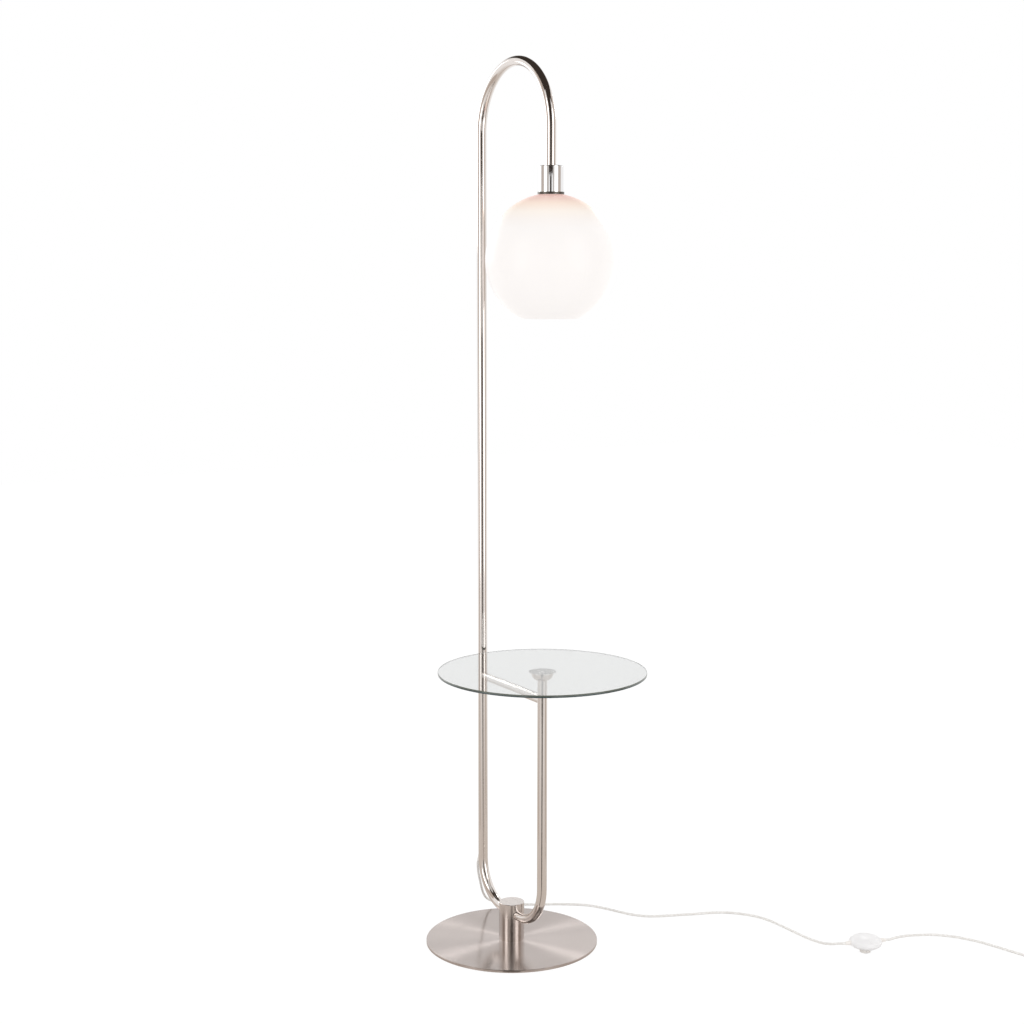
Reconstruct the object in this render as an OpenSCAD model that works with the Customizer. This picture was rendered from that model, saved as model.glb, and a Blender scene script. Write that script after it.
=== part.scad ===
// Floor lamp with a round glass table. One bent tube is clamped in a post on the
// base: its long leg is the pole, its short leg carries the table, and an arch
// screwed on the pole hangs an opal globe over the glass.
// The origin is on the floor under the centre of the base. +X runs from the pole
// to the table, +Z is up, and every length is in millimetres.

/* [Base] */
// Diameter of the base plate
base_d = 342; // [300:1:400]
// Thickness of the base plate
base_t = 5; // [4:0.5:10]
// Bevel of the plate's upper edge
base_bevel = 0.8; // [0.4:0.1:2]
// Thickness of the felt under the plate
felt_t = 1; // [0.6:0.1:2]
// How far the felt stays inside the plate's edge
felt_inset = 4; // [2:0.5:10]

/* [Post] */
// Diameter of the post
post_d = 50; // [46:1:60]
// Height of the clamped tube's centre above the plate
seat_h = 54; // [40:1:80]
// Height of the post above the tube's centre
post_over = 22.3; // [18:0.1:30]
// Bevel of the post's top edge
post_bevel = 0.8; // [0.4:0.1:2]
// Diameter of the clamp screw
clamp_d = 8; // [6:1:10]
// Diameter of the pin that keeps the post from turning
pin_d = 5; // [3:1:6]
// Distance of that pin from the post's axis
pin_r = 16; // [14:0.5:19]
// How far the plug's ends stay inside the post's wall
plug_recess = 0.8; // [0.4:0.1:1.5]

/* [Bent tube] */
// Outer diameter of the tube
tube_d = 19; // [16:0.5:22]
// Wall of the tube
tube_wall = 1.2; // [1:0.1:1.8]
// Distance between the pole and the table's leg
leg_spacing = 230; // [218:1:260]
// Bending radius of the two lower bends
bend_r = 82; // [60:1:88]
// Straight length of the pole above its bend
pole_len = 1404; // [1200:1:1500]
// Straight length of the table's leg above its bend
riser_len = 412; // [400:1:480]
// Diameter of the cross bar
bar_d = 16; // [12:0.5:18]
// Distance of the cross bar below the end of the table's leg
bar_drop = 36; // [29:1:110]

/* [Arch] */
// Radius of the arch
arch_r = 128; // [115:1:150]
// Straight foot of the arch above the seam on the pole
arch_foot = 49.5; // [30:0.5:80]
// Straight drop from the arch down to the neck ring
drop_len = 67.2; // [50:0.1:90]
// Bevel on each side of the seam
seam_bevel = 0.5; // [0.3:0.1:0.9]
// Length of the threaded inserts in the tube ends
insert_len = 20; // [14:1:26]
// Diameter of the hollow thread at the seam and over the cup
nipple_d = 10; // [9.5:0.1:11]
// Bore for the lead in the hollow threads
nipple_bore = 7; // [6:0.1:7.5]

/* [Table] */
// Diameter of the glass top
glass_d = 400; // [360:1:440]
// Thickness of the glass top
glass_t = 5; // [4:0.5:10]
// Diameter of the metal disc bonded under the glass
disc_d = 51; // [46:1:70]
// Thickness of that disc
disc_t = 1.5; // [1.5:0.5:5]
// Diameter of the bell at its top
bell_d = 43; // [38:1:46]
// Height of the bell
bell_h = 15; // [12:0.5:20]
// Thickness of the soft washer between bell and disc
washer_t = 0.5; // [0.3:0.1:1]
// Diameter of the stud that holds the table
stud_d = 8; // [6:1:10]

/* [Lamp head] */
// Height of the neck ring between drop and cup
ring_h = 3.3; // [2:0.1:6]
// Diameter of the cup
cup_d = 46; // [44:0.5:50]
// Height of the cup
cup_h = 47.6; // [44:0.1:60]
// Wall of the cup
cup_wall = 1; // [0.8:0.1:1.5]
// Rounding of the cup's top edge
cup_round = 1.6; // [1:0.1:3]
// Diameter of the collar on which the globe hangs
collar_d = 49; // [47:0.5:56]
// Height of the collar at its bore
collar_h = 3.5; // [2.5:0.1:6]
// Thickness of the gasket over the globe
gasket_t = 0.6; // [0.4:0.1:1]
// Outer diameter of the globe
globe_d = 242; // [220:1:260]
// Wall of the globe
globe_wall = 3; // [2:0.1:4]
// Diameter of the globe's open mouth
mouth_d = 112; // [100:1:140]
// Diameter of the hole in the globe's neck
neck_d = 41; // [40.4:0.1:43]

/* [Lamp holder] */
// Diameter of the threaded skirt
skirt_d = 39.6; // [38.5:0.1:40]
// Length of the skirt below the retaining ring
skirt_over = 4; // [2:0.5:8]
// Diameter of the holder's cap
cap_d = 36; // [34:0.5:38]
// Height of the cap over the skirt
cap_h = 20; // [16:0.5:22]
// Height of the cap's threaded neck
cap_neck_h = 8; // [6:0.5:10]
// Diameter of the retaining ring's flange
ring_d = 56; // [52:1:64]
// Height of the retaining ring
ring_len = 8; // [6:0.5:12]
// Number of grip ribs on the retaining ring
ring_ribs = 12; // [6:1:18]
// Diameter of the bulb's screw base
screw_base_d = 26.4; // [25:0.1:27]
// Length of the bulb's screw base
screw_base_len = 24; // [20:0.5:26]
// Diameter of the bulb
bulb_d = 60; // [45:1:70]
// Length of the bulb with its base
bulb_len = 105; // [95:1:115]

/* [Cord] */
// Diameter of the cord
cord_d = 5; // [4:0.1:5.2]
// Height of the cord's way out above the pole's bend
exit_up = 3.5; // [0:0.5:20]
// Length of the relief outside the pole
relief_len = 19; // [15:1:30]
// Diameter of the relief at its root
relief_d = 9; // [8:0.1:10]

/* [Foot switch] */
// Diameter of the switch housing
sw_d = 64.5; // [60:0.5:70]
// Height of the switch housing
sw_h = 22; // [20:0.5:26]
// Height of the housing's straight rim
sw_rim = 4; // [3:0.5:6]
// Wall of the housing
sw_wall = 2; // [1.6:0.1:2.4]
// Height at which the housing stands on its button
sw_lift = 10; // [8:0.5:14]
// Diameter of the button
button_d = 21.5; // [18:0.5:23]
// Travel of the button
button_travel = 3; // [2:0.1:3]
// Diameter of the contact block
block_d = 31; // [30:0.5:34]
// Height of the contact block
block_h = 6; // [5.6:0.1:6.4]
// Length of the switch's reliefs outside the housing
sw_relief_len = 10; // [8:1:16]

/* [Plug] */
// Width of the plug's face
plug_w = 35.3; // [32:0.1:38]
// Thickness of the plug
plug_t = 13.7; // [12.5:0.1:15]
// Length of the plug's body
plug_len = 35; // [30:1:42]
// Diameter of the plug's pins
plug_pin_d = 4; // [3.8:0.1:4.2]
// Distance between the pins
plug_pin_gap = 19; // [18:0.1:19.5]
// Length of the pins
plug_pin_len = 19; // [17:0.5:20]

/* [Hidden] */
$fn = 96;

// Clearances: fit for pressed and screwed pairs, slip for what slides together,
// seat for what is only laid on its seat
fit = 0.05;
slip = 0.15;
seat = 0.1;
cut = 1;             // how far a cutting tool runs past a face

// Base, post and bent tube
plate_z = felt_t;
plate_top = plate_z + base_t;
tube_z = plate_top + seat_h;
post_top = tube_z + post_over;
tube_r = tube_d / 2;
bore_d = tube_d - 2 * tube_wall;
pole_x = -leg_spacing / 2;
riser_x = leg_spacing / 2;
leg_z = tube_z + bend_r;
pole_top = leg_z + pole_len;
riser_top = leg_z + riser_len;
bar_z = riser_top - bar_drop;
slot_w = tube_d + 2 * slip;
saddle_up = tube_d / 4;
clamp_head_d = 1.75 * clamp_d;
clamp_head_h = (clamp_head_d - clamp_d) / 2;
clamp_sink = 0.3;
clamp_end = post_top - 5;
pin_depth = min(3, base_t - 1.5);
pin_up = 9;

// Arch
arch_x = pole_x + arch_r;
arch_z = pole_top + arch_foot;
drop_x = pole_x + 2 * arch_r;
drop_end = arch_z - drop_len;

// Table
bell_z = riser_top;
washer_z = bell_z + bell_h;
disc_z = washer_z + washer_t;
glass_z = disc_z + disc_t;
bell_w = bell_d / 2 - tube_r;
bell_r = (pow(bell_w, 2) + pow(bell_h, 2)) / (2 * bell_w);
boss_d = 2 * stud_d;
boss_h = 5;
glass_bevel = 0.6;

// Lamp head, from the neck ring down
cup_top = drop_end - ring_h;
cup_low = cup_top - cup_h;
nut_h = 3;
nut_z = cup_top - cup_wall - nut_h;
cap_neck_d = nipple_d + 5;
cap_top = nut_z - cap_neck_h;
cap_low = cap_top - cap_h;
cap_wall = 1.6;
globe_r = globe_d / 2;
globe_in_r = globe_r - globe_wall;
collar_low = cup_low - collar_h;
globe_z = collar_low - sqrt(pow(globe_r + gasket_t, 2) - pow(neck_d / 2, 2));
ring_top = globe_z + sqrt(pow(globe_in_r, 2) - pow(ring_d / 2, 2)) - seat;
ring_low = ring_top - ring_len;
skirt_low = ring_low - skirt_over;
web_t = 4;
web_low = cap_low - web_t;
contact_h = 3;
bulb_tip = web_low - contact_h;
bulb_tip_h = 3;
base_top = bulb_tip - bulb_tip_h;
base_low = base_top - screw_base_len;
bulb_low = bulb_tip - bulb_len;
bulb_wall = 1;
shell_d = screw_base_d + 2;
shell_wall = 0.7;

// The lead's way out of the pole, slanting down and outwards
exit_tilt = 30;
exit_bend = 20;
exit_dir = [-sin(exit_tilt), 0, -cos(exit_tilt)];
exit_root = [pole_x - tube_r, 0, leg_z + exit_up];
exit_tip = exit_root + relief_len * exit_dir;
relief_in = 7;
bend_z = exit_root.z + exit_bend * sin(exit_tilt)
    + (tube_r - exit_bend * (1 - cos(exit_tilt))) / tan(exit_tilt);
relief_tip_d = cord_d + 1.4;

// Foot switch: its place on the floor and the heading of the cord through it
sw_x = 408;
sw_y = 570;
sw_heading = 72;
sw_mid = sw_lift + sw_h / 2;
sw_r = sw_d / 2;
sw_cap_h = (sw_h - sw_rim) / 2;
sw_ball = (pow(sw_r, 2) + pow(sw_cap_h, 2)) / (2 * sw_cap_h);
floor_gap = 0.3;
flat_z = sw_lift + sw_wall + 1.4;
flange_z = flat_z + seat;
flange_t = 1.2;
flange_d = button_d + 3.5;
block_low = sw_mid - block_h / 2;
block_top = sw_mid + block_h / 2;
spring_web = 1.5;
stem_d = 7;
bridge_z = block_top + 0.3;
bridge_t = 0.6;
spring_d = 10;
spring_wire = 0.8;
spring_turns = 4;
rib_d = flange_d + 2;
rib_t = 2;
sw_boss_d = 7;
sw_screw_d = 3;
sw_screw_r = sw_r - 8.8;
sw_tip = sw_r + sw_relief_len;
// The reliefs' inner collars, behind the place where the shells are as narrow as they
relief_collar_r = relief_d / 2 + 0.7;
relief_collar_t = 1.6;
relief_collar_x = sqrt(pow(sw_ball - sw_wall, 2)
    - pow(relief_collar_r + sw_ball - sw_cap_h - sw_rim / 2, 2)) - seat;

// Route of the cord over the floor, from the pole to the foot switch
low = cord_d / 2 + 0.1;
lamp_route = [
    [-140, 2, 108], [-143, 6, 92], [-148, 12, 76], [-155, 19, 60], [-163, 27, 46],
    [-172, 37, 33], [-180, 48, 22.5], [-185, 60, 15], [-186, 73, 9.5], [-182, 88, 5.5],
    [-173, 104, 3.4], [-160, 122, low], [-148, 142, low], [-136, 165, low],
    [-113, 203, low], [-87, 236, low], [-53, 258, low], [-18, 274, low], [8, 287, low],
    [28, 304, low], [42, 326, low], [56, 361, low], [71, 400, low], [84, 436, low],
    [98, 462, low], [122, 486, low], [152, 504, low], [186, 512, low], [230, 514, low],
    [275, 514.5, low], [302, 515, 3.2], [324, 514, 5.5], [345, 512, 9], [362, 511, 13],
    [376, 512, 17], [386, 516, 20], [391, 521, 21]
];
// From the foot switch to the coil, which lies past the picture's edge
wall_route = [
    [423, 625, 21], [421.5, 637, 20.5], [419, 649, 19], [417, 665, 17], [415.5, 684, 14],
    [415.5, 706, 10.5], [417.5, 728, 7.5], [422, 746, 5], [429, 760, 3.3],
    [438.5, 771, low], [449, 778.5, low], [466, 788, low], [484, 796, low],
    [510, 804, low], [538, 811, low], [566, 817, low], [590, 822, 2.9]
];
// From the coil to the plug
tail_route = [
    [651, 883, 9.1], [648.5, 893, 8.6], [645, 903.5, 8], [640.5, 913, 7.4], [635, 921.5, 7.1]
];

// Coil: two layers, wound in to the middle and out again
coil_in = [620, 826.2];
coil_heading = 8;
coil_inner = 21;
coil_step = cord_d + 0.6;
coil_turns = 6.25;
coil_half = coil_turns / 2;
coil_outer = coil_inner + coil_step * coil_half;
coil_c = coil_in + coil_outer * [-sin(coil_heading), cos(coil_heading)];
coil_z = cord_d / 2 + 1.2;
coil_rings = 24;
tie_w = 4;
tie_t = 0.8;
tie_gap = 0.3;
tie_turn = 0.5;      // the tie sits half a turn after the way in

// Plug, lying on its flat side
plug_at = [629, 929.5];
plug_heading = 127;
plug_z = plug_t / 2 + 0.1;
plug_relief = 18;
plug_rear_w = 16;
plug_pin_in = 8;
plug_sleeve_len = 10;
plug_core_d = plug_pin_d - 1;

// ---------- Shapes that several pieces use ----------

// A piece turned about a vertical axis at x: its section has radius and height
module turned(x = 0) translate([x, 0, 0]) rotate_extrude() children();

// Rectangle of a turned section, between two radii and two heights
module band(r0, r1, z0, z1) translate([r0, z0]) square([r1 - r0, z1 - z0]);

// Rod along X, centred on the origin
module rod_x(d, len) rotate([0, 90, 0]) cylinder(d = d, h = len, center = true);

// Part of a tube's bend in the XZ plane, from angle a over the angle turn
module bend(r, d, a, turn) rotate([90, 0, 0]) rotate([0, 0, a])
    rotate_extrude(angle = turn) translate([r, 0]) circle(d = d);

// Place on the floor where the foot switch stands, X along the cord
module at_switch() translate([sw_x, sw_y, 0]) rotate([0, 0, sw_heading]) children();

// Place of the plug, with X along its pins
module at_plug() translate([plug_at.x, plug_at.y, plug_z])
    rotate([0, 0, plug_heading]) children();

// Place of the relief's tip, with Z back along the lead into the pole
module at_exit() translate(exit_tip) rotate([0, exit_tilt, 0]) children();

function unit(v) = v / norm(v);
function heading(a) = [cos(a), sin(a), 0];
function last(list) = list[len(list) - 1];
function tangent(p, i) = unit(p[min(i + 1, len(p) - 1)] - p[max(i - 1, 0)]);
function square_to(v, t) = unit(v - (v * t) * t);

// One side vector for each point, carried along so that the tube doesn't twist
function side_vectors(p) = [
    for (i = 0, s = square_to([0.1, 1, 0.2], tangent(p, 0)); i < len(p);
        i = i + 1, s = i < len(p) ? square_to(s, tangent(p, i)) : s) s
];

// Closed round tube along a list of points, as one mesh of triangles
module sweep(p, d, sides) {
    n = len(p);
    s = side_vectors(p);
    rings = [
        for (i = [0 : n - 1], k = [0 : sides - 1])
            let (t = tangent(p, i), a = 360 * k / sides)
            p[i] + d / 2 * (cos(a) * s[i] + sin(a) * cross(t, s[i]))
    ];
    walls = [
        for (i = [0 : n - 2], k = [0 : sides - 1])
            let (a = i * sides, b = a + sides, k2 = (k + 1) % sides)
            each [[a + k, a + k2, b + k], [a + k2, b + k2, b + k]]
    ];
    caps = [
        for (k = [1 : sides - 2])
            each [[0, k + 1, k], [(n - 1) * sides, (n - 1) * sides + k, (n - 1) * sides + k + 1]]
    ];
    polyhedron(rings, [for (f = concat(walls, caps)) [f[2], f[1], f[0]]]);
}

// ---------- Base and post ----------

// Felt, stuck on last over the whole underside and the screw's head
module felt_pad() color([0.18, 0.17, 0.17]) cylinder(d = base_d - 2 * felt_inset, h = felt_t);

module clamp_hole() {
    top = plate_z + clamp_sink + clamp_head_h;
    translate([0, 0, -cut]) cylinder(d = clamp_d + 2 * slip, h = clamp_end + cut);
    turned() polygon([[0, plate_z - cut], [clamp_head_d / 2 + slip, plate_z - cut],
        [clamp_head_d / 2 + slip, plate_z + clamp_sink], [clamp_d / 2 + slip, top], [0, top]]);
}

module pin_hole() translate([0, pin_r, plate_top - pin_depth])
    cylinder(d = pin_d + 2 * fit, h = pin_depth + pin_up);

module base_plate() color([0.76, 0.73, 0.71]) difference() {
    turned() polygon([[0, plate_z], [base_d / 2, plate_z], [base_d / 2, plate_top - base_bevel],
        [base_d / 2 - base_bevel, plate_top], [0, plate_top]]);
    clamp_hole();
    pin_hole();
}

module post() color([0.74, 0.71, 0.69]) difference() {
    turned() polygon([[0, plate_top], [post_d / 2, plate_top], [post_d / 2, post_top - post_bevel],
        [post_d / 2 - post_bevel, post_top], [0, post_top]]);
    translate([0, 0, tube_z]) rod_x(slot_w, post_d + 2 * cut);
    translate([-post_d / 2 - cut, -slot_w / 2, tube_z])
        cube([post_d + 2 * cut, slot_w, post_over + cut]);
    clamp_hole();
    pin_hole();
}

// Block that fills the slot over the tube; the screw pulls its saddle down
module post_plug() color([0.72, 0.69, 0.67]) difference() {
    intersection() {
        turned() polygon([[0, tube_z + saddle_up], [post_d / 2 - plug_recess, tube_z + saddle_up],
            [post_d / 2 - plug_recess, post_top - post_bevel],
            [post_d / 2 - plug_recess - post_bevel, post_top], [0, post_top]]);
        translate([-post_d / 2, -tube_d / 2, tube_z]) cube([post_d, tube_d, post_over]);
    }
    translate([0, 0, tube_z]) rod_x(slot_w, post_d + 2 * cut);
    translate([0, 0, tube_z]) cylinder(d = clamp_d + 2 * fit, h = clamp_end - tube_z + seat);
}

module clamp_screw() color([0.6, 0.6, 0.62]) difference() {
    low_z = plate_z + clamp_sink;
    turned() polygon([[0, low_z], [clamp_head_d / 2, low_z],
        [clamp_d / 2, low_z + clamp_head_h], [clamp_d / 2, clamp_end - 1],
        [clamp_d / 2 - 1, clamp_end], [0, clamp_end]]);
    translate([0, 0, low_z - cut]) cylinder(d = 0.65 * clamp_d, h = 2.5 + cut, $fn = 6);
}

module locating_pin() color([0.6, 0.6, 0.62])
    translate([0, pin_r, plate_top - pin_depth + seat])
        cylinder(d = pin_d, h = pin_depth + pin_up - 2 * seat);

// ---------- Bent tube, bar and arch ----------

// The bent tube as a solid of diameter d, its ends longer by over
module u_rod(d, over) {
    flat = riser_x - bend_r;
    translate([0, 0, tube_z]) rod_x(d, 2 * flat);
    translate([flat, 0, leg_z]) bend(bend_r, d, -90, 90);
    translate([-flat, 0, leg_z]) bend(bend_r, d, 180, 90);
    translate([pole_x, 0, leg_z]) cylinder(d = d, h = pole_len + over);
    translate([riser_x, 0, leg_z]) cylinder(d = d, h = riser_len + over);
}

// V cut round a tube end at height z, which the seam shows
module seam_cut(x, z) turned(x) polygon([[tube_r - seam_bevel, z],
    [tube_r + cut, z - seam_bevel - cut], [tube_r + cut, z + seam_bevel + cut]]);

module u_tube() color([0.80, 0.80, 0.81]) difference() {
    u_rod(tube_d, 0);
    u_rod(bore_d, cut);
    cylinder(d = clamp_d + 2 * slip, h = post_top);
    seam_cut(pole_x, pole_top);
    at_exit() cylinder(d = relief_d + 2 * fit, h = relief_len + relief_in + seat);
}

module cross_bar() color([0.80, 0.80, 0.81]) difference() {
    translate([0, 0, bar_z]) rod_x(bar_d, leg_spacing);
    translate([0, 0, bar_z]) rod_x(bar_d - 2 * tube_wall, leg_spacing + cut);
    for (x = [pole_x, riser_x])
        translate([x, 0, bar_z - bar_d]) cylinder(d = tube_d + 2 * fit, h = 2 * bar_d);
}

// Threaded insert pressed in a tube end, with a bore of diameter hole
module insert(x, z0, z1, hole) color([0.62, 0.62, 0.6]) turned(x)
    band(hole / 2 + fit, bore_d / 2 - fit, z0, z1);

module pole_insert() insert(pole_x, pole_top - insert_len, pole_top - seat, nipple_d);

module arch_insert() insert(pole_x, pole_top + seat, pole_top + insert_len, nipple_d);

module arch_stud() color([0.70, 0.66, 0.5]) turned(pole_x)
    band(nipple_bore / 2, nipple_d / 2, pole_top - insert_len + 4, pole_top + insert_len - 4);

module arch_rod(d, over) {
    translate([arch_x, 0, arch_z]) bend(arch_r, d, 0, 180);
    translate([pole_x, 0, pole_top - over]) cylinder(d = d, h = arch_foot + over);
    translate([drop_x, 0, drop_end - over]) cylinder(d = d, h = drop_len + over);
}

module arch_tube() color([0.80, 0.80, 0.81]) difference() {
    arch_rod(tube_d, 0);
    arch_rod(bore_d, cut);
    seam_cut(pole_x, pole_top);
    seam_cut(drop_x, drop_end);
}

// ---------- Table ----------

module riser_insert() insert(riser_x, riser_top - insert_len, riser_top - seat, stud_d);

module table_stud() color([0.6, 0.6, 0.62]) turned(riser_x)
    band(0, stud_d / 2, riser_top - insert_len + 3, glass_z - 1);

// Bell that bulges out from the tube to its top, bored for the stud and for the boss
// of the disc
module table_bell() color([0.80, 0.80, 0.81]) turned(riser_x) difference() {
    union() {
        band(0, tube_r, bell_z, washer_z);
        intersection() {
            band(0, bell_d / 2, bell_z, washer_z);
            translate([bell_d / 2 - bell_r, washer_z]) circle(r = bell_r);
        }
    }
    band(0, stud_d / 2 + slip, bell_z - cut, washer_z + cut);
    band(0, boss_d / 2 + slip, disc_z - boss_h - seat, washer_z + cut);
}

module bell_washer() color([0.75, 0.75, 0.74]) turned(riser_x)
    band(boss_d / 2 + slip, bell_d / 2 - 0.5, washer_z, disc_z);

module glass_disc() color([0.78, 0.78, 0.79]) turned(riser_x) difference() {
    union() {
        band(0, disc_d / 2, disc_z, glass_z);
        band(0, boss_d / 2, disc_z - boss_h, disc_z);
    }
    band(0, stud_d / 2 + fit, disc_z - boss_h - cut, glass_z - 1 + seat);
}

module glass_top() color([0.82, 0.90, 0.87, 0.45]) turned(riser_x)
    polygon([[0, glass_z], [glass_d / 2 - glass_bevel, glass_z],
        [glass_d / 2, glass_z + glass_bevel], [glass_d / 2, glass_z + glass_t - glass_bevel],
        [glass_d / 2 - glass_bevel, glass_z + glass_t], [0, glass_z + glass_t]]);

// ---------- Lamp head ----------

module drop_insert() insert(drop_x, drop_end + seat, drop_end + insert_len, nipple_d);

module neck_ring() color([0.84, 0.83, 0.81]) turned(drop_x)
    band(nipple_d / 2 + slip, tube_r, cup_top, drop_end);

module nipple() color([0.70, 0.66, 0.5]) turned(drop_x)
    band(nipple_bore / 2, nipple_d / 2, cap_top + 1, drop_end + insert_len - 4);

module lock_nut() color([0.70, 0.66, 0.5]) difference() {
    translate([drop_x, 0, nut_z]) cylinder(d = 1.6 * nipple_d, h = nut_h, $fn = 6);
    translate([drop_x, 0, nut_z - cut])
        cylinder(d = nipple_d + 2 * fit, h = nut_h + 2 * cut);
}

module cup() color([0.80, 0.80, 0.81]) turned(drop_x) difference() {
    r = cup_d / 2;
    inner = max(cup_round - cup_wall, 0.2);
    union() {
        band(0, r - cup_round, cup_low, cup_top);
        band(0, r, cup_low, cup_top - cup_round);
        translate([r - cup_round, cup_top - cup_round]) circle(r = cup_round);
    }
    band(0, r - cup_wall - inner, cup_low - cut, cup_top - cup_wall);
    band(0, r - cup_wall, cup_low - cut, cup_top - cup_wall - inner);
    translate([r - cup_wall - inner, cup_top - cup_wall - inner]) circle(r = inner);
    band(0, nipple_d / 2 + slip, cup_low, cup_top + cut);
}

module holder_cap() color([0.16, 0.16, 0.16]) turned(drop_x) difference() {
    union() {
        band(0, cap_neck_d / 2, cap_top, nut_z);
        band(0, cap_d / 2, cap_low, cap_top);
    }
    band(0, cap_d / 2 - cap_wall, cap_low - cut, cap_top - cap_wall);
    band(0, nipple_d / 2 + fit, cap_low, nut_z + cut);
}

// Threaded skirt with the web that carries the centre contact
module holder_skirt() color([0.16, 0.16, 0.16]) turned(drop_x) difference() {
    band(2, skirt_d / 2, skirt_low, cap_low);
    band(0, shell_d / 2 + fit, skirt_low - cut, web_low);
}

module screw_shell() color([0.78, 0.66, 0.40]) turned(drop_x)
    band(shell_d / 2 - shell_wall, shell_d / 2, skirt_low + 3, web_low);

module holder_contact() color([0.78, 0.66, 0.40]) turned(drop_x) {
    band(0, 2 - fit, bulb_tip, cap_low + 1);
    band(0, 4, bulb_tip, bulb_tip + 0.8);
}

module collar() color([0.30, 0.28, 0.26]) turned(drop_x) difference() {
    band(skirt_d / 2 + fit, collar_d / 2, collar_low - collar_h, cup_low);
    translate([0, globe_z]) circle(r = globe_r + gasket_t, $fn = 360);
}

module globe_gasket() color([0.85, 0.85, 0.84]) turned(drop_x) intersection() {
    difference() {
        translate([0, globe_z]) circle(r = globe_r + gasket_t, $fn = 360);
        translate([0, globe_z]) circle(r = globe_r, $fn = 360);
    }
    band(neck_d / 2, collar_d / 2 - 0.5, globe_z, cup_low);
}

// Ring screwed on the skirt from below: it holds the globe against the collar
module retaining_ring() color([0.16, 0.16, 0.16]) {
    sleeve_r = skirt_d / 2 + 3;
    turned(drop_x) {
        band(skirt_d / 2 + fit, sleeve_r, ring_low, ring_top);
        band(skirt_d / 2 + fit, ring_d / 2, ring_top - 2, ring_top);
    }
    for (i = [0 : ring_ribs - 1]) translate([drop_x, 0, ring_low])
        rotate([0, 0, 360 * i / ring_ribs]) translate([sleeve_r - 1, -1, 0])
            cube([2.5, 2, ring_len - 1]);
}

module globe() color([0.97, 0.95, 0.92]) turned(drop_x) {
    mid_r = globe_r - globe_wall / 2;
    mouth_down = sqrt(pow(mid_r, 2) - pow(mouth_d / 2, 2));
    difference() {
        translate([0, globe_z]) circle(r = globe_r, $fn = 360);
        translate([0, globe_z]) circle(r = globe_in_r, $fn = 360);
        band(-globe_r - cut, 0, globe_z - globe_r - cut, globe_z + globe_r + cut);
        band(-cut, neck_d / 2, globe_z, globe_z + globe_r + cut);
        translate([0, globe_z]) polygon([[0, 0],
            globe_d * [mouth_d / 2, -mouth_down] / mid_r, [0, -2 * globe_d]]);
    }
    translate([mouth_d / 2, globe_z - mouth_down]) circle(d = globe_wall);
}

// Pear shape: a ball with a tangent cone up to the neck, which goes on in the base
module bulb_section(r, neck_r, top) {
    c = bulb_low + bulb_d / 2;
    reach = base_low - seat - c;
    a = atan2(neck_r, reach) + acos(r / norm([neck_r, reach]));
    intersection() {
        union() {
            translate([0, c]) circle(r = r);
            polygon([[0, c], [r * sin(a), c + r * cos(a)], [neck_r, c + reach],
                [neck_r, top], [0, top]]);
        }
        band(0, r, c - r, top);
    }
}

module bulb_glass() color([0.98, 0.96, 0.90]) turned(drop_x) difference() {
    neck_r = screw_base_d / 2 - 1;
    bulb_section(bulb_d / 2, neck_r, base_low + 4);
    bulb_section(bulb_d / 2 - bulb_wall, neck_r - bulb_wall, base_low + 3);
}

module bulb_base() color([0.80, 0.78, 0.74]) turned(drop_x) difference() {
    band(0, screw_base_d / 2, base_low, base_top);
    band(0, screw_base_d / 2 - 0.5, base_low - cut, base_top - 0.5);
    band(0, 4, base_low, base_top + cut);
}

module bulb_insulator() color([0.12, 0.12, 0.14]) turned(drop_x)
    polygon([[0, base_top - 0.5], [4 - fit, base_top - 0.5], [4 - fit, base_top],
        [screw_base_d / 2 - 3, base_top], [5, bulb_tip - seat], [0, bulb_tip - seat]]);

// Lead from the holder through drop, arch and pole to the relief's tip
lead_path = concat(
    [[drop_x, 0, cap_low + 2]],
    [for (a = [0 : 7.5 : 180]) [arch_x + arch_r * cos(a), 0, arch_z + arch_r * sin(a)]],
    [for (a = [0 : exit_tilt / 4 : exit_tilt])
        [pole_x - exit_bend + exit_bend * cos(a), 0, bend_z - exit_bend * sin(a)]],
    [exit_root, exit_tip]
);

module inner_lead() color([0.85, 0.76, 0.62]) sweep(lead_path, cord_d, 8);

module lead_relief() color([0.86, 0.82, 0.74]) at_exit() rotate_extrude() difference() {
    polygon([[0, 0], [relief_tip_d / 2, 0], [relief_d / 2, relief_len - 2],
        [relief_d / 2, relief_len + relief_in], [0, relief_len + relief_in]]);
    band(0, cord_d / 2 + fit, -cut, relief_len + relief_in + cut);
}

// ---------- Cord ----------

function sw_port(side, out) = [sw_x, sw_y, sw_mid] + side * (sw_tip + out) * heading(sw_heading);

// Point of the coil after t turns: in to the middle, one layer up, out again
function coil_point(t) =
    let (a = coil_heading - 90 + 360 * t,
        r = coil_inner + coil_step * abs(t - coil_half),
        u = min(max((t - coil_half) * 2 + 0.5, 0), 1))
    [coil_c.x + r * cos(a), coil_c.y + r * sin(a), coil_z + coil_step * u * u * (3 - 2 * u)];

coil_winding = [for (i = [0 : coil_turns * coil_rings]) coil_point(i / coil_rings)];
coil_out_heading = coil_heading + 360 * coil_turns;
coil_start = coil_winding[0] - cord_d * heading(coil_heading);
coil_end = last(coil_winding) + cord_d * heading(coil_out_heading);
coil_path = concat([coil_start], coil_winding, [coil_end]);

lamp_path = concat([exit_tip, exit_tip + cord_d * exit_dir], lamp_route,
    [sw_port(-1, cord_d), sw_port(-1, 0)]);
wall_path = concat([sw_port(1, 0), sw_port(1, cord_d)], wall_route,
    [coil_start - cord_d * heading(coil_heading), coil_start]);
tail_path = concat([coil_end, coil_end + cord_d * heading(coil_out_heading)], tail_route,
    [[plug_at.x, plug_at.y, plug_z] - cord_d * heading(plug_heading),
    [plug_at.x, plug_at.y, plug_z]]);

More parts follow.
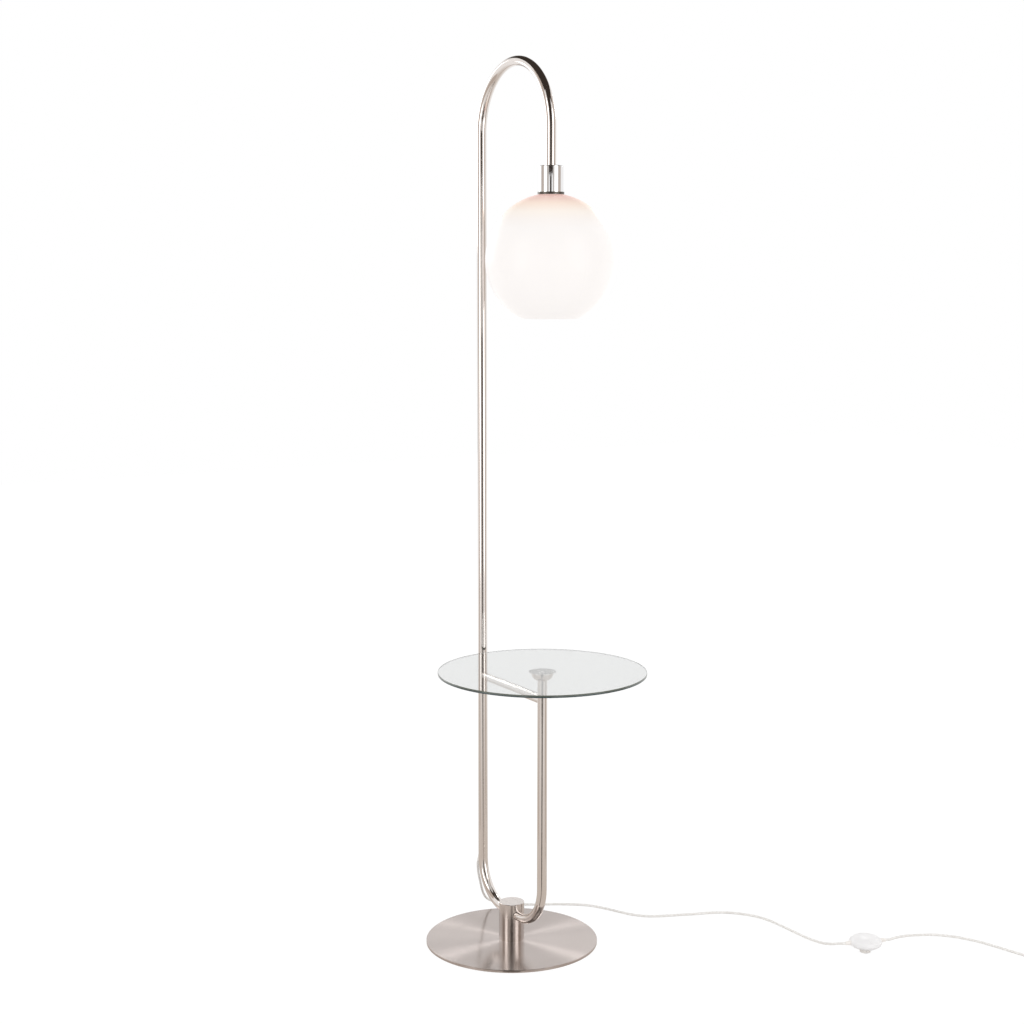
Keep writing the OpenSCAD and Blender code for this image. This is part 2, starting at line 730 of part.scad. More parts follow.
// Least gap between two turns, measured on the points that lie half a turn apart
coil_gap = min([
    for (i = [0 : len(coil_winding) - 1], j = [i + coil_rings / 2 : len(coil_winding) - 1])
        norm(coil_winding[i] - coil_winding[j])
]) - cord_d;
echo(coil_gap = coil_gap);

module cord_lamp() color([0.85, 0.76, 0.62]) sweep(lamp_path, cord_d, 8);

module cord_wall() color([0.85, 0.76, 0.62]) sweep(wall_path, cord_d, 8);

module cord_coil() color([0.85, 0.76, 0.62]) sweep(coil_path, cord_d, 6);

module cord_tail() color([0.85, 0.76, 0.62]) sweep(tail_path, cord_d, 8);

// Band round the bundle, on which the coil rests on the floor
module cord_tie() color([0.2, 0.2, 0.2]) {
    radii = [for (t = [tie_turn : 1 : coil_turns]) coil_inner + coil_step * abs(t - coil_half)];
    in_r = min(radii) - cord_d / 2 - tie_gap;
    out_r = max(radii) + cord_d / 2 + tie_gap;
    in_z = coil_z - cord_d / 2 - tie_gap;
    out_z = coil_z + coil_step + cord_d / 2 + tie_gap;
    translate([coil_c.x, coil_c.y, 0]) rotate([0, 0, coil_heading - 90 + 360 * tie_turn])
        difference() {
            translate([in_r - tie_t, -tie_w / 2, in_z - tie_t])
                cube([out_r - in_r + 2 * tie_t, tie_w, out_z - in_z + 2 * tie_t]);
            translate([in_r, -tie_w / 2 - cut, in_z])
                cube([out_r - in_r, tie_w + 2 * cut, out_z - in_z]);
        }
}

// ---------- Foot switch ----------

// Section of half a lens over the middle plane, smaller by inset on every side
module lens_half(inset) intersection() {
    translate([0, sw_mid + sw_rim / 2 + sw_cap_h - sw_ball]) circle(r = sw_ball - inset, $fn = 360);
    band(0, sw_r - inset, sw_mid, sw_mid + sw_h / 2);
}

// The same half turned downwards
module lens_below(inset) translate([0, 2 * sw_mid]) mirror([0, 1]) lens_half(inset);

// Holes through the rim for the two reliefs
module relief_holes() translate([0, 0, sw_mid]) rod_x(relief_d + 2 * slip, 2 * sw_r + 2 * cut);

module switch_lower_shell() color([0.90, 0.90, 0.88, 0.5]) at_switch() difference() {
    union() {
        rotate_extrude() difference() {
            lens_below(0);
            difference() {
                lens_below(sw_wall);
                band(0, rib_d / 2, sw_lift, flat_z);
                band(rib_d / 2, rib_d / 2 + rib_t, sw_lift, block_low);
            }
            band(0, button_d / 2 + 2 * slip, sw_lift - cut, sw_mid);
        }
        intersection() {
            for (y = [-sw_screw_r, sw_screw_r])
                translate([0, y, sw_lift]) cylinder(d = sw_boss_d, h = sw_h / 2);
            rotate_extrude() lens_below(0);
        }
    }
    for (y = [-sw_screw_r, sw_screw_r]) {
        translate([0, y, 0]) cylinder(d = sw_screw_d + 2 * slip, h = sw_mid + cut);
        translate([0, y, 0]) cylinder(d = 2 * sw_screw_d + 2 * slip, h = sw_mid - 4.5);
    }
    relief_holes();
}

module switch_upper_shell() color([0.92, 0.92, 0.90, 0.5]) at_switch() difference() {
    union() {
        rotate_extrude() difference() {
            lens_half(0);
            difference() {
                lens_half(sw_wall);
                band(rib_d / 2, rib_d / 2 + rib_t, block_top + seat, sw_mid + sw_h);
            }
        }
        intersection() {
            for (y = [-sw_screw_r, sw_screw_r])
                translate([0, y, sw_mid]) cylinder(d = sw_boss_d, h = sw_h / 2);
            rotate_extrude() lens_half(0);
        }
    }
    for (y = [-sw_screw_r, sw_screw_r])
        translate([0, y, sw_mid - cut]) cylinder(d = sw_screw_d + 2 * fit, h = cut + 5);
    relief_holes();
}

module switch_block() color([0.88, 0.86, 0.80]) at_switch() rotate_extrude() difference() {
    band(0, block_d / 2, block_low, block_top);
    band(0, spring_d / 2 + 1.5, block_low - cut, block_top - spring_web);
    band(0, stem_d / 2 + slip, block_low, block_top + cut);
}

module switch_button() color([0.80, 0.74, 0.64]) at_switch() rotate_extrude() {
    r = button_d / 2;
    edge = 1.5;
    band(0, r - edge, floor_gap, flange_z);
    band(0, r, floor_gap + edge, flange_z);
    translate([0, floor_gap + edge]) intersection() {
        translate([r - edge, 0]) circle(r = edge);
        band(0, r, -edge, edge);
    }
    band(0, flange_d / 2, flange_z, flange_z + flange_t);
    band(0, stem_d / 2, flange_z, bridge_z);
}

module switch_bridge() color([0.78, 0.66, 0.40]) at_switch()
    translate([-8, -2.5, bridge_z]) cube([16, 5, bridge_t]);

// Two fixed contacts that the bridge meets at the end of its travel
module switch_contacts() color([0.78, 0.66, 0.40]) at_switch() {
    over = bridge_z + bridge_t + button_travel + floor_gap;
    for (side = [0, 180]) rotate([0, 0, side]) {
        translate([9, -2.5, block_top]) cube([4, 5, bridge_t]);
        translate([9, -2.5, block_top]) cube([bridge_t, 5, over + bridge_t - block_top]);
        translate([5.5, -2.5, over]) cube([4, 5, bridge_t]);
    }
}

module switch_spring() color([0.7, 0.7, 0.72]) at_switch() {
    z0 = flange_z + flange_t + spring_wire / 2 + seat;
    z1 = block_top - spring_web - spring_wire / 2 - seat;
    steps = 8 * spring_turns;
    sweep([for (i = [0 : steps]) [spring_d / 2 * cos(45 * i), spring_d / 2 * sin(45 * i),
        z0 + (z1 - z0) * i / steps]], spring_wire, 6);
}

// Ends of the cord inside the housing, up to the contact block
module switch_leads() color([0.85, 0.76, 0.62]) at_switch() for (side = [0, 180])
    rotate([0, 0, side]) translate([block_d / 2 + seat, 0, sw_mid]) rotate([0, 90, 0])
        cylinder(d = cord_d, h = sw_tip - block_d / 2 - seat);

module switch_reliefs() color([0.88, 0.86, 0.80]) at_switch() for (side = [0, 180])
    rotate([0, 0, side]) translate([sw_tip, 0, sw_mid]) rotate([0, -90, 0])
        rotate_extrude() difference() {
            root = sw_tip - relief_collar_x;
            union() {
                polygon([[0, 0], [relief_tip_d / 2, 0], [relief_d / 2, sw_relief_len - 1],
                    [relief_d / 2, root], [0, root]]);
                band(0, relief_collar_r, root, root + relief_collar_t);
            }
            band(0, cord_d / 2 + fit, -cut, root + relief_collar_t + cut);
        }

module switch_screws() color([0.6, 0.6, 0.62]) at_switch() for (y = [-sw_screw_r, sw_screw_r])
    translate([0, y, sw_mid - 4.5]) {
        cylinder(d = sw_screw_d, h = 9);
        translate([0, 0, -1.8]) difference() {
            cylinder(d = 2 * sw_screw_d - 0.4, h = 1.8);
            translate([-sw_screw_d, -0.4, -cut]) cube([2 * sw_screw_d, 0.8, cut + 0.8]);
        }
    }

// ---------- Plug ----------

module plug_pin_places() for (y = [-plug_pin_gap / 2, plug_pin_gap / 2])
    translate([plug_relief + plug_len, y, 0]) rotate([0, 90, 0]) children();

module plug_body() color([0.88, 0.86, 0.80]) at_plug() difference() {
    face = plug_relief + plug_len;
    union() {
        intersection() {
            translate([plug_relief, 0, 0]) rotate([0, 90, 0]) for (y = [-1, 1])
                translate([0, y * (plug_w - plug_t) / 2, 0]) cylinder(d = plug_t, h = plug_len);
            translate([0, 0, -plug_t]) linear_extrude(2 * plug_t) polygon([
                [plug_relief, -plug_rear_w / 2], [plug_relief, plug_rear_w / 2],
                [face - 16, plug_w / 2], [face, plug_w / 2],
                [face, -plug_w / 2], [face - 16, -plug_w / 2]]);
        }
        translate([0, 0, -plug_t / 2]) linear_extrude(plug_t) polygon([
            [plug_relief, -plug_rear_w / 2], [plug_relief, plug_rear_w / 2],
            [face - 16, (plug_w - plug_t) / 2], [face, (plug_w - plug_t) / 2],
            [face, -(plug_w - plug_t) / 2], [face - 16, -(plug_w - plug_t) / 2]]);
        rotate([0, 90, 0]) cylinder(d1 = relief_tip_d, d2 = relief_d + 1, h = plug_relief + cut);
    }
    plug_pin_places() translate([0, 0, -plug_pin_in])
        cylinder(d = plug_pin_d + 2 * fit, h = plug_pin_in + cut);
}

module plug_sleeves() color([0.15, 0.15, 0.15]) at_plug() plug_pin_places()
    rotate_extrude() band(plug_core_d / 2 + fit, plug_pin_d / 2, -plug_pin_in, plug_sleeve_len);

module plug_pins() color([0.80, 0.80, 0.80]) at_plug() plug_pin_places() {
    translate([0, 0, -plug_pin_in]) cylinder(d = plug_core_d, h = plug_pin_in + plug_sleeve_len);
    translate([0, 0, plug_sleeve_len])
        cylinder(d = plug_pin_d, h = plug_pin_len - plug_sleeve_len - plug_pin_d / 2);
    translate([0, 0, plug_pin_len - plug_pin_d / 2]) sphere(d = plug_pin_d);
}

felt_pad();
base_plate();
post();
post_plug();
clamp_screw();
locating_pin();
u_tube();
cross_bar();
pole_insert();
arch_insert();
arch_stud();
arch_tube();
riser_insert();
table_stud();
table_bell();
bell_washer();
glass_disc();
glass_top();
drop_insert();
neck_ring();
nipple();
lock_nut();
cup();
holder_cap();
holder_skirt();
screw_shell();
holder_contact();
collar();
globe_gasket();
retaining_ring();
globe();
bulb_glass();
bulb_base();
bulb_insulator();
inner_lead();
lead_relief();
cord_lamp();
cord_wall();
cord_coil();
cord_tie();
cord_tail();
switch_lower_shell();
switch_upper_shell();
switch_block();
switch_button();
switch_bridge();
switch_spring();
switch_contacts();
switch_leads();
switch_reliefs();
switch_screws();
plug_body();
plug_sleeves();
plug_pins();
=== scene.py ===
import math

import bpy
import bmesh
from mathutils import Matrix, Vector


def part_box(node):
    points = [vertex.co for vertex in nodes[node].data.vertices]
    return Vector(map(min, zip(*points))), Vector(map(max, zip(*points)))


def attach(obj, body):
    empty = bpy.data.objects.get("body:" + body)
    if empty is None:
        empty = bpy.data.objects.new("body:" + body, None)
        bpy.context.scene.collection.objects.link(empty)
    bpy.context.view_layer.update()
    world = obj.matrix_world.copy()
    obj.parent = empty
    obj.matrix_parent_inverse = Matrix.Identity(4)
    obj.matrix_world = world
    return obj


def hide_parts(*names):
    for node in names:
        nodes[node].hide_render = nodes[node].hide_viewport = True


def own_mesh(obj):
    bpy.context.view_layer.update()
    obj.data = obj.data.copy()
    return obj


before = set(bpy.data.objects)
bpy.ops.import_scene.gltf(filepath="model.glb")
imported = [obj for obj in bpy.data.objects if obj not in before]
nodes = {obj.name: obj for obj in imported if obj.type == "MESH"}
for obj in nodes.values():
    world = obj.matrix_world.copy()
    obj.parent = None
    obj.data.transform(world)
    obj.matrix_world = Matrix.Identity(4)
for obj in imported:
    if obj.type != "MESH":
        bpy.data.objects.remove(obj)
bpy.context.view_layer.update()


# ---------- Camera ----------
# The photograph looks at the lamp from the table's side, a little above the middle of the
# pole, with a lens of medium length. Its place was worked out from the ellipses of the base
# and of the glass and from the width of the arch.

VIEW_TURN = math.radians(59.34)
VIEW_DOWN = math.radians(7.86)
camera = bpy.data.objects.new("camera", bpy.data.cameras.new("camera"))
bpy.context.scene.collection.objects.link(camera)
bpy.context.scene.camera = camera
bpy.context.scene.view_settings.view_transform = "Standard"
camera.data.lens = 64.02
camera.data.sensor_width = 36
camera.location = (3.0159, -1.7872, 1.3528)
camera.rotation_euler = (math.pi / 2 - VIEW_DOWN, 0, VIEW_TURN)


def around(turn, distance, height):
    """Point round the lamp, turn degrees from the camera's side, to the right in the picture."""
    a = VIEW_TURN - math.pi / 2 + math.radians(turn)
    return Vector((distance * math.cos(a), distance * math.sin(a), height))


# ---------- Cord from the pole to the foot switch ----------
# Round mains cord of 5 mm, two cores in a clear sheath that shows the copper as a warm grey.
# It hangs from the relief at the foot of the pole, lies behind the base in two loose bends
# and runs up to the relief of the foot switch.

CORD_D = 0.005
LOW = CORD_D / 2 + 0.0001
TO_SWITCH = [
    (-0.140, 0.002, 0.108), (-0.143, 0.006, 0.092), (-0.148, 0.012, 0.076),
    (-0.155, 0.019, 0.060), (-0.163, 0.027, 0.046), (-0.172, 0.037, 0.033),
    (-0.180, 0.048, 0.0225), (-0.185, 0.060, 0.015), (-0.186, 0.073, 0.0095),
    (-0.182, 0.088, 0.0055), (-0.173, 0.104, 0.0034), (-0.160, 0.122, LOW),
    (-0.148, 0.142, LOW), (-0.136, 0.165, LOW), (-0.113, 0.203, LOW), (-0.087, 0.236, LOW),
    (-0.053, 0.258, LOW), (-0.018, 0.274, LOW), (0.008, 0.287, LOW), (0.028, 0.304, LOW),
    (0.042, 0.326, LOW), (0.056, 0.361, LOW), (0.071, 0.400, LOW), (0.084, 0.436, LOW),
    (0.098, 0.462, LOW), (0.122, 0.486, LOW), (0.152, 0.504, LOW), (0.186, 0.512, LOW),
    (0.230, 0.514, LOW), (0.275, 0.5145, LOW), (0.302, 0.515, 0.0032), (0.324, 0.514, 0.0055),
    (0.345, 0.512, 0.009), (0.362, 0.511, 0.013), (0.376, 0.512, 0.017), (0.386, 0.516, 0.020),
    (0.391, 0.521, 0.021),
]
EXIT = Vector((-0.134, 0, 0.12905))
EXIT_WAY = Vector((-0.5, 0, -0.866))
SWITCH = Vector((0.408, 0.570, 0.021))
SWITCH_TIP = 0.04225


def heading(turn):
    """Level direction, turned by that many degrees from +X."""
    return Vector((math.cos(math.radians(turn)), math.sin(math.radians(turn)), 0))


SWITCH_WAY = heading(72)


def round_cord(name, points):
    """One smooth open curve through the points, as a round cord with closed ends."""
    curve = bpy.data.curves.new(name, "CURVE")
    curve.dimensions = "3D"
    # The profile has a radius of 1, and each point scales it down to the cord's.
    curve.bevel_depth = 1
    curve.bevel_resolution = 4
    curve.resolution_u = 6
    curve.use_fill_caps = True
    spline = curve.splines.new("BEZIER")
    spline.bezier_points.add(len(points) - 1)
    for spot, point in zip(spline.bezier_points, points):
        spot.co = point
        spot.radius = CORD_D / 2
        spot.handle_left_type = spot.handle_right_type = "AUTO"
    made = bpy.data.objects.new(name, curve)
    bpy.context.scene.collection.objects.link(made)
    return made


to_switch = [EXIT, EXIT + CORD_D * EXIT_WAY, *TO_SWITCH,
             SWITCH - (SWITCH_TIP + CORD_D) * SWITCH_WAY, SWITCH - SWITCH_TIP * SWITCH_WAY]
lamp_cord = round_cord("lamp_cord", to_switch)
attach(lamp_cord, "lamp")
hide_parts("cord_lamp")


# ---------- Cord from the foot switch to the plug ----------
# The same cord leaves the switch, comes down to the floor and runs out of the picture. The
# rest of its length is wound for storage just past the picture's edge, in two layers: in to
# the middle, up one layer and out again.

TO_COIL = [
    (0.423, 0.625, 0.021), (0.4215, 0.637, 0.0205), (0.419, 0.649, 0.019),
    (0.417, 0.665, 0.017), (0.4155, 0.684, 0.014), (0.4155, 0.706, 0.0105),
    (0.4175, 0.728, 0.0075), (0.422, 0.746, 0.005), (0.429, 0.760, 0.0033),
    (0.4385, 0.771, LOW), (0.449, 0.7785, LOW), (0.466, 0.788, LOW), (0.484, 0.796, LOW),
    (0.510, 0.804, LOW), (0.538, 0.811, LOW), (0.566, 0.817, LOW), (0.590, 0.822, 0.0029),
]
TO_PLUG = [
    (0.651, 0.883, 0.0091), (0.6485, 0.893, 0.0086), (0.645, 0.9035, 0.008),
    (0.6405, 0.913, 0.0074), (0.635, 0.9215, 0.0071),
]
COIL_IN = Vector((0.620, 0.8262, 0))
COIL_TURN = 8
COIL_INNER = 0.021
COIL_STEP = CORD_D + 0.0006
COIL_TURNS = 6.25
POINTS_PER_TURN = 24
COIL_LOW = CORD_D / 2 + 0.0012
PLUG = Vector((0.629, 0.9295, 0.00695))
PLUG_WAY = heading(127)
half = COIL_TURNS / 2
coil_middle = COIL_IN + (COIL_INNER + COIL_STEP * half) * heading(COIL_TURN + 90)


def coil_point(turns):
    """Point of the winding: the radius falls to the middle and grows again, one layer up."""
    reach = COIL_INNER + COIL_STEP * abs(turns - half)
    climb = min(max((turns - half) * 2 + 0.5, 0), 1)
    point = coil_middle + reach * heading(COIL_TURN - 90 + 360 * turns)
    point.z = COIL_LOW + COIL_STEP * climb * climb * (3 - 2 * climb)
    return point


winding = [coil_point(i / POINTS_PER_TURN) for i in range(int(COIL_TURNS * POINTS_PER_TURN) + 1)]
coil_start = winding[0] - CORD_D * heading(COIL_TURN)
coil_way = heading(COIL_TURN + 360 * COIL_TURNS)
coil_end = winding[-1] + CORD_D * coil_way
to_plug = [SWITCH + SWITCH_TIP * SWITCH_WAY, SWITCH + (SWITCH_TIP + CORD_D) * SWITCH_WAY,
           *TO_COIL, coil_start, *winding, coil_end, coil_end + CORD_D * coil_way,
           *TO_PLUG, PLUG - CORD_D * PLUG_WAY, PLUG]
wall_cord = round_cord("wall_cord", to_plug)
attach(wall_cord, "lamp")
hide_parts("cord_wall", "cord_coil", "cord_tail")


class Shade:
    """A socket of a material. Sums on it add Math nodes, and node() adds any other node."""

    def __init__(self, tree, socket=None):
        self.tree = tree
        self.socket = socket

    def node(self, kind, settings=None, inputs=None, out=0):
        """A new node of that kind, with its settings first and then its sockets."""
        made = self.tree.nodes.new("ShaderNode" + kind)
        for name, value in (settings or {}).items():
            if name == "stops":
                ramp = made.color_ramp.elements
                while len(ramp) < len(value):
                    ramp.new(0.5)
                for stop, (at, colour) in zip(ramp, value):
                    stop.position = at
                    stop.color = (*colour, 1)
            else:
                setattr(made, name, value)
        for name, value in (inputs or {}).items():
            if isinstance(value, Shade):
                self.tree.links.new(value.socket, made.inputs[name])
            else:
                made.inputs[name].default_value = value
        return Shade(self.tree, made.outputs[out])

    def sum(self, operation, *values):
        """A Math node on these values."""
        return self.node("Math", {"operation": operation}, dict(enumerate(values)))

    def __add__(self, other):
        return self.sum("ADD", self, other)

    def __sub__(self, other):
        return self.sum("SUBTRACT", self, other)

    def __rsub__(self, other):
        return self.sum("SUBTRACT", other, self)

    def __mul__(self, other):
        return self.sum("MULTIPLY", self, other)

    def __truediv__(self, other):
        return self.sum("DIVIDE", self, other)

    __radd__ = __add__
    __rmul__ = __mul__

    def step(self, low, high):
        """0 below low, 1 above high, and smooth between them."""
        return self.node("MapRange", {"interpolation_type": "SMOOTHSTEP"},
                         {"Value": self, "From Min": low, "From Max": high})

    def mix(self, low, high):
        """The colour low where this value is 0, and high where it is 1."""
        return self.node("Mix", {"data_type": "RGBA"},
                         {0: self, 6: rgba(low), 7: rgba(high)}, out=2)


def rgba(colour):
    """A plain colour with its alpha, or a link as it is."""
    return colour if isinstance(colour, Shade) else (*colour, 1)


def start_material(name):
    """An empty material, and the start of its nodes."""
    made = bpy.data.materials.new(name)
    made.use_nodes = True
    made.node_tree.nodes.clear()
    return made, Shade(made.node_tree)


def finish_material(made, shade, shader):
    """Puts the shader on the material's output."""
    output = made.node_tree.nodes.new("ShaderNodeOutputMaterial")
    made.node_tree.links.new(shader.socket, output.inputs["Surface"])
    return made


def place(shade, stretch=(1, 1, 1)):
    """Where a point of the surface is in the lamp's own frame, in metres, stretched."""
    spot = shade.node("TexCoord", out=3)
    return shade.node("VectorMath", {"operation": "MULTIPLY"}, {0: spot, 1: stretch})


def noise(shade, scale, detail=2, rough=0.5, stretch=(1, 1, 1)):
    """Soft noise from 0 to 1 on the surface, scale times a metre fine."""
    return shade.node("TexNoise", None, {"Vector": place(shade, stretch), "Scale": scale,
                                         "Detail": detail, "Roughness": rough})


def bump(shade, height, strength, distance):
    """Normal of a surface with that height."""
    return shade.node("Bump", None, {"Height": height, "Strength": strength, "Distance": distance})


def paint(material, *names):
    """Gives CAD nodes their material."""
    for name in names:
        slots = nodes[name].data.materials
        slots.clear()
        slots.append(material)


def cord_sheath():
    made, shade = start_material("cord_sheath")
    twist = noise(shade, 260, 1, 0.4)
    colour = twist.step(0.35, 0.65).mix((0.77, 0.745, 0.715), (0.87, 0.85, 0.825))
    shader = shade.node("BsdfPrincipled", None, {
        "Base Color": colour, "Roughness": 0.32 + 0.1 * noise(shade, 900),
        "Coat Weight": 0.4, "Coat Roughness": 0.12, "IOR": 1.5,
        "Normal": bump(shade, noise(shade, 1500), 0.1, 0.0002)})
    return finish_material(made, shade, shader)


sheath = cord_sheath()
for cord in (lamp_cord, wall_cord):
    cord.data.materials.append(sheath)
paint(sheath, "inner_lead", "switch_leads")


# ---------- Studio ----------
# White floor and white surroundings. Two tall soft lights stand beside the camera, and two
# small ones behind the lamp draw streaks on its base. Dark flags, two panels and a grey card
# on the floor are there for the metal to show. Only the panels are also seen through glass.

WHITE = (1, 1, 1)
AMBIENT = 0.85
FLOOR_GLOW = 1.06
SHADOW_SHARE = 0.12


def seen_ways(shade):
    """1 for what the camera sees, also in metal and through glass, and 0 for plain light."""
    path = shade.tree.nodes.new("ShaderNodeLightPath").outputs
    names = ("Is Camera Ray", "Is Glossy Ray", "Is Transmission Ray")
    camera_ray, glossy_ray, glass_ray = (Shade(shade.tree, path[name]) for name in names)
    return shade.sum("MINIMUM", camera_ray + glossy_ray + glass_ray, 1.0)


world = bpy.data.worlds.new("studio")
bpy.context.scene.world = world
world.use_nodes = True
world.node_tree.nodes.clear()
air = Shade(world.node_tree)
level = AMBIENT + (1.0 - AMBIENT) * seen_ways(air)
glow = air.node("Background", None, {"Color": (*WHITE, 1), "Strength": level})
sky_out = world.node_tree.nodes.new("ShaderNodeOutputWorld")
world.node_tree.links.new(glow.socket, sky_out.inputs["Surface"])


def sheet_of(name, corners):
    """A flat four-cornered sheet of the studio."""
    mesh = bpy.data.meshes.new(name)
    mesh.from_pydata([tuple(c) for c in corners], [], [(0, 1, 2, 3)])
    made = bpy.data.objects.new(name, mesh)
    bpy.context.scene.collection.objects.link(made)
    return made


def floor_sheet(name, reach, height):
    """A square sheet over the floor, reach metres to each side."""
    return sheet_of(name, [(-reach, -reach, height), (reach, -reach, height),
                           (reach, reach, height), (-reach, reach, height)])


def floor_paint():
    """White for the camera, with a share of real light that keeps the lamp's shadow."""
    made, shade = start_material("studio_floor")
    grain = noise(shade, 40).mix((0.86, 0.86, 0.86), (0.9, 0.9, 0.9))
    lit = shade.node("BsdfDiffuse", None, {"Color": grain})
    plain = shade.node("Emission", None, {"Color": (*WHITE, 1), "Strength": FLOOR_GLOW})
    shader = shade.node("MixShader", None, {
        0: seen_ways(shade) * (1 - SHADOW_SHARE), 1: lit, 2: plain})
    return finish_material(made, shade, shader)


floor_sheet("floor", 8, -0.0004).data.materials.append(floor_paint())


def for_metal(made, name, colour_of, in_glass=False):
    """Makes a sheet glow in its colour for metal alone, or also for what is seen through glass."""
    material, shade = start_material(name)
    made.data.materials.append(finish_material(material, shade, shade.node(
        "Emission", None, {"Color": colour_of(shade), "Strength": 1.0})))
    made.visible_camera = made.visible_diffuse = made.visible_shadow = False
    made.visible_transmission = in_glass


def radius_from(shade, x=0.0):
    """Distance of a surface point from the upright axis at x."""
    apart = shade.node("VectorMath", {"operation": "SUBTRACT"}, {0: place(shade), 1: (x, 0, 0)})
    level = shade.node("VectorMath", {"operation": "MULTIPLY"}, {0: apart, 1: (1, 1, 0)})
    return shade.node("VectorMath", {"operation": "LENGTH"}, {0: level}, out=1)


CARD_Z, CARD_FADE = 0.0002, 3
FLAG_Z, FLAG_TOP = 0.001, 3.4
DARK = (0.045, 0.036, 0.030)
DIM = (0.22, 0.19, 0.17)
INNER = (0.60, 0.57, 0.54)
SIDE = (0.55, 0.48, 0.43)


def card_colour(shade):
    """Warm grey at the lamp that fades to white."""
    return shade.node("ValToRGB", {"stops": [
        (0.15, (0.66, 0.60, 0.55)), (0.5, (0.82, 0.79, 0.76)), (1.0, WHITE)]},
        {"Fac": radius_from(shade) / CARD_FADE})


def ceiling_colour(shade):
    """Dark above the lamp and white far behind it."""
    return radius_from(shade).step(2.5, 4.5).mix(DARK, WHITE)


def hang_flag(name, low, high, grey, in_glass=False):
    """A sheet in one grey. Its low and high ends each run from one turn to another round the
    lamp, at their own distance and height."""
    made = sheet_of(name, [around(turn, distance, height) for turn, distance, height in (
        (low[0], *low[2:]), (low[1], *low[2:]), (high[1], *high[2:]), (high[0], *high[2:]))])
    for_metal(made, name, lambda shade: noise(shade, 3).mix(
        [0.9 * g for g in grey], [1.1 * g for g in grey]), in_glass)


for_metal(floor_sheet("floor_card", 3.2, CARD_Z), "floor_card", card_colour)
for row in (
        ("flag_floor", (-5, 5, 0.47, FLAG_Z), (-11, 11, 1.5, FLAG_Z), DARK),
        ("flag_floor_near", (-6, 6, 0.175, FLAG_Z), (-6, 6, 0.47, FLAG_Z), DIM),
        ("flag_floor_side", (-70, -102, 0.7, FLAG_Z), (-66, -100, 2.2, FLAG_Z), SIDE),
        ("flag_floor_side", (70, 102, 0.7, FLAG_Z), (66, 100, 2.2, FLAG_Z), SIDE),
        ("flag_lower", (-11, 11, 1.5, 0), (-16, 16, 1.5, 1.15), DARK),
        ("flag_middle", (-7, 7, 1.5, 1.15), (-7, 7, 1.5, 1.57), DARK),
        ("flag_upper", (-17, 17, 1.5, 1.57), (-42, 42, 1.5, FLAG_TOP), DARK),
        ("flag_inner_left", (-38, -17, 2.0, 0), (-38, -17, 2.0, FLAG_TOP), INNER),
        ("flag_inner_right", (17, 31, 2.0, 0), (17, 31, 2.0, FLAG_TOP), INNER),
        ("flag_side_left", (-96, -66, 2.2, 0), (-96, -66, 2.2, FLAG_TOP), SIDE),
        ("flag_side_right", (66, 96, 2.2, 0), (66, 96, 2.2, FLAG_TOP), SIDE)):
    hang_flag(*row)
ceiling = sheet_of("flag_ceiling", [
    around(0, near, FLAG_TOP) + around(90, right, 0)
    for near, right in ((1.5, -2.2), (1.5, 2.2), (-4.4, 2.2), (-4.4, -2.2))])
for_metal(ceiling, "flag_ceiling", ceiling_colour)
# These two are for the cross bar: a white line, and the grey above it.
hang_flag("panel_back", (-146, -122, 2.6, 1.4), (-146, -122, 2.6, 2.35), (3.6, 3.6, 3.6), True)
hang_flag("panel_behind", (-170, -146, 2.62, 0.72), (-170, -146, 2.62, 2.4), (0.5, 0.5, 0.52),
          True)


def soft_light(name, turn, distance, height, wide, tall, power, aim):
    """A soft light that looks at the height aim of the lamp."""
    data = bpy.data.lights.new(name, "AREA")
    data.shape = "RECTANGLE"
    data.size, data.size_y = wide, tall
    data.energy = power
    made = bpy.data.objects.new(name, data)
    bpy.context.scene.collection.objects.link(made)
    made.location = around(turn, distance, height)
    made.rotation_mode = "QUATERNION"
    made.rotation_quaternion = (Vector((0, 0, aim)) - made.location).to_track_quat("-Z", "Y")
    made.visible_camera = False


soft_light("light_left", turn=-51, distance=3.2, height=1.6, wide=1.2, tall=3.0, power=19, aim=0.9)
soft_light("light_right", turn=48, distance=3.2, height=1.6, wide=1.5, tall=3.0, power=20, aim=0.9)
soft_light("light_back_left", turn=-156, distance=2.6, height=2.04, wide=0.35, tall=0.35,
           power=5.6, aim=0)
soft_light("light_back_right", turn=156, distance=2.6, height=2.04, wide=0.35, tall=0.35,
           power=5.6, aim=0)


# ---------- Felt ----------
# A disc of dark needled felt, stuck on under the base plate and over the head of its screw,
# so that the steel doesn't scratch the floor.

def felt_cloth():
    made, shade = start_material("felt")
    fibre = noise(shade, 1800, 4, 0.7)
    shader = shade.node("BsdfPrincipled", None, {
        "Base Color": fibre.mix((0.02, 0.02, 0.02), (0.07, 0.068, 0.066)),
        "Roughness": 0.95, "Sheen Weight": 0.3, "Normal": bump(shade, fibre, 0.8, 0.0005)})
    return finish_material(made, shade, shader)


paint(felt_cloth(), "felt_pad")


# ---------- Base plate ----------
# A flat disc of 5 mm steel, faced on the lathe and left with its fine rings, bevelled at the
# rim, and plated in satin nickel.

